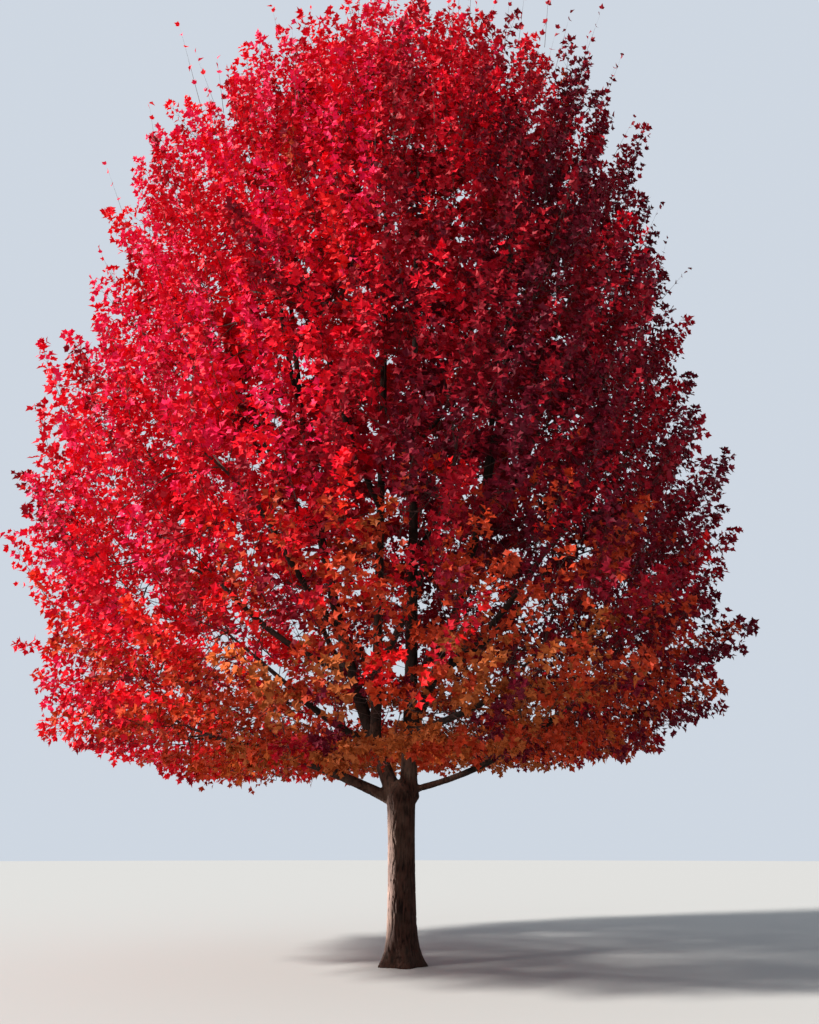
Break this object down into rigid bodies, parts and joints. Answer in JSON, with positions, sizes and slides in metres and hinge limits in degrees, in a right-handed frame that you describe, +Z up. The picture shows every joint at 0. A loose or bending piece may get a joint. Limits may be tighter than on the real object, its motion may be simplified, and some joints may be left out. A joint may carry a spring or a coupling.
{
  "type": "red maple tree",
  "caption": "Broadleaf tree in red autumn leaf: short flared trunk, ascending leaders, boughs and an oval crown of foliage masses.",
  "frame": {"origin": "centre of the flat cut under the trunk, at ground level", "axes": "+Z up along the trunk, +X to the right and +Y away as the tree is seen in the picture"},
  "size_m": [12.0271, 12.1852, 16.7605],
  "materials": {
    "bark": "rough grey-brown furrowed bark",
    "bough_bark": "darker, smoother bark of boughs and twigs",
    "foliage": "red autumn leaves, crimson to maroon with rust low down"
  },
  "bodies": {
    "root": {"bough_shoulder_1": "bough_bark", "bough_shoulder_2": "bough_bark", "bough_shoulder_3": "bough_bark", "bough_shoulder_4": "bough_bark", "bough_shoulder_5": "bough_bark", "bough_shoulder_6": "bough_bark", "bough_skirt_1": "bough_bark", "bough_skirt_2": "bough_bark", "bough_skirt_3": "bough_bark", "bough_skirt_4": "bough_bark", "bough_skirt_5": "bough_bark", "bough_skirt_6": "bough_bark", "bough_upper_1": "bough_bark", "bough_upper_2": "bough_bark", "bough_upper_3": "bough_bark", "bough_upper_4": "bough_bark", "bough_upper_5": "bough_bark", "bough_waist_1": "bough_bark", "bough_waist_2": "bough_bark", "bough_waist_3": "bough_bark", "bough_waist_4": "bough_bark", "bough_waist_5": "bough_bark", "bough_waist_6": "bough_bark", "bough_waist_7": "bough_bark", "leader_back": "bark", "leader_centre": "bark", "leader_front": "bark", "leader_left": "bark", "leader_right": "bark", "mass_crest_back": "foliage", "mass_crest_centre": "foliage", "mass_crest_front": "foliage", "mass_crest_left": "foliage", "mass_crest_right": "foliage", "mass_shoulder_1": "foliage", "mass_shoulder_2": "foliage", "mass_shoulder_3": "foliage", "mass_shoulder_4": "foliage", "mass_shoulder_5": "foliage", "mass_shoulder_6": "foliage", "mass_skirt_1": "foliage", "mass_skirt_2": "foliage", "mass_skirt_3": "foliage", "mass_skirt_4": "foliage", "mass_skirt_5": "foliage", "mass_skirt_6": "foliage", "mass_upper_1": "foliage", "mass_upper_2": "foliage", "mass_upper_3": "foliage", "mass_upper_4": "foliage", "mass_upper_5": "foliage", "mass_waist_1": "foliage", "mass_waist_2": "foliage", "mass_waist_3": "foliage", "mass_waist_4": "foliage", "mass_waist_5": "foliage", "mass_waist_6": "foliage", "mass_waist_7": "foliage", "trunk": "bark"}
  },
  "joints": []
}
